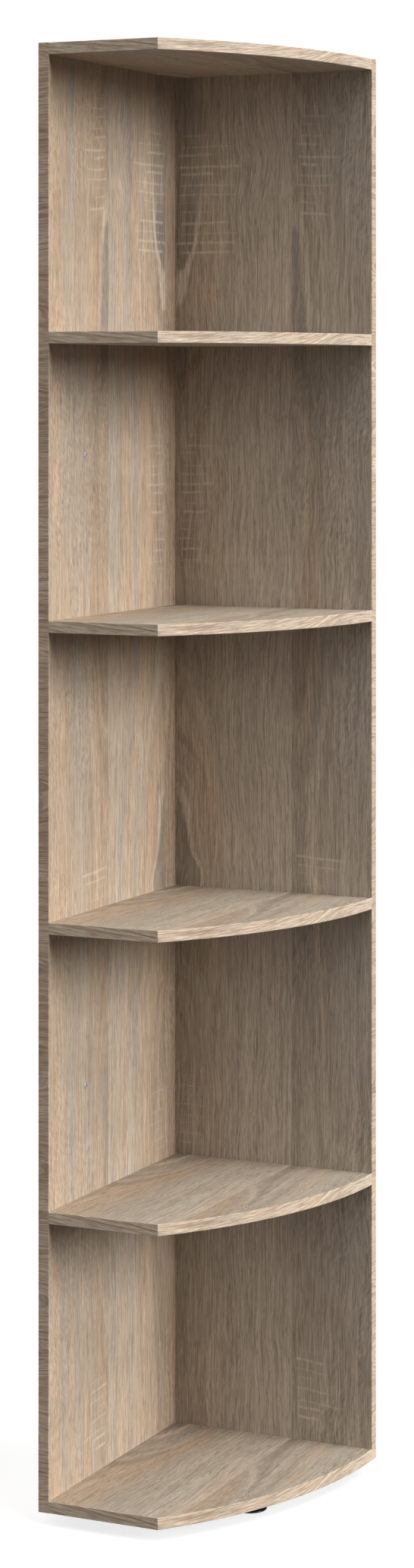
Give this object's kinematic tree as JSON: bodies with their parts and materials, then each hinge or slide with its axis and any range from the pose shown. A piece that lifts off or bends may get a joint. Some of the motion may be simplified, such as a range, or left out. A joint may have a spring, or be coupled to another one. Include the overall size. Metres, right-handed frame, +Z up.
{
  "type": "shelf end unit",
  "caption": "Tall open shelf end unit: a side panel and a back panel in a corner, curved-front boards between them, small feet; closes the right end of a row of cabinets.",
  "frame": {"origin": "on the floor, under the middle of the unit's outline seen from above", "axes": "+Z up; +Y towards the wall, so the front is -Y; +X to the right along the back panel, away from the side panel, which faces the neighbouring cabinet"},
  "size_m": [0.327, 0.416, 2.017],
  "materials": {
    "oak_decor_board": "chipboard with a matt, slightly textured pale sawn oak decor",
    "oak_decor_band": "matt plastic edge band printed with the same pale oak decor",
    "zinc_steel": "bright zinc plated steel",
    "nickel_steel": "nickel plated steel",
    "beech": "raw beech",
    "black_plastic": "glossy black moulded plastic"
  },
  "bodies": {
    "root": {"side_panel": "oak_decor_board", "back_panel": "oak_decor_board", "bottom_board": "oak_decor_board", "shelf_1": "oak_decor_board", "shelf_2": "oak_decor_board", "shelf_3": "oak_decor_board", "shelf_4": "oak_decor_board", "top_board": "oak_decor_board", "bottom_board_front_band": "oak_decor_band", "bottom_board_curve_band": "oak_decor_band", "shelf_1_front_band": "oak_decor_band", "shelf_1_curve_band": "oak_decor_band", "shelf_2_front_band": "oak_decor_band", "shelf_2_curve_band": "oak_decor_band", "shelf_3_front_band": "oak_decor_band", "shelf_3_curve_band": "oak_decor_band", "shelf_4_front_band": "oak_decor_band", "shelf_4_curve_band": "oak_decor_band", "top_board_front_band": "oak_decor_band", "top_board_curve_band": "oak_decor_band", "side_panel_front_band": "oak_decor_band", "side_panel_top_band": "oak_decor_band", "back_panel_end_band": "oak_decor_band", "back_panel_top_band": "oak_decor_band", "side_board_screws": "zinc_steel", "side_back_screws": "zinc_steel", "back_board_screws": "zinc_steel", "foot_screws": "zinc_steel", "side_board_dowels": "beech", "side_back_dowels": "beech", "back_board_dowels": "beech", "connector_sleeves": "nickel_steel", "foot_rear_left": "black_plastic", "foot_rear_right": "black_plastic", "foot_front_left": "black_plastic", "foot_curve": "black_plastic"}
  },
  "joints": []
}
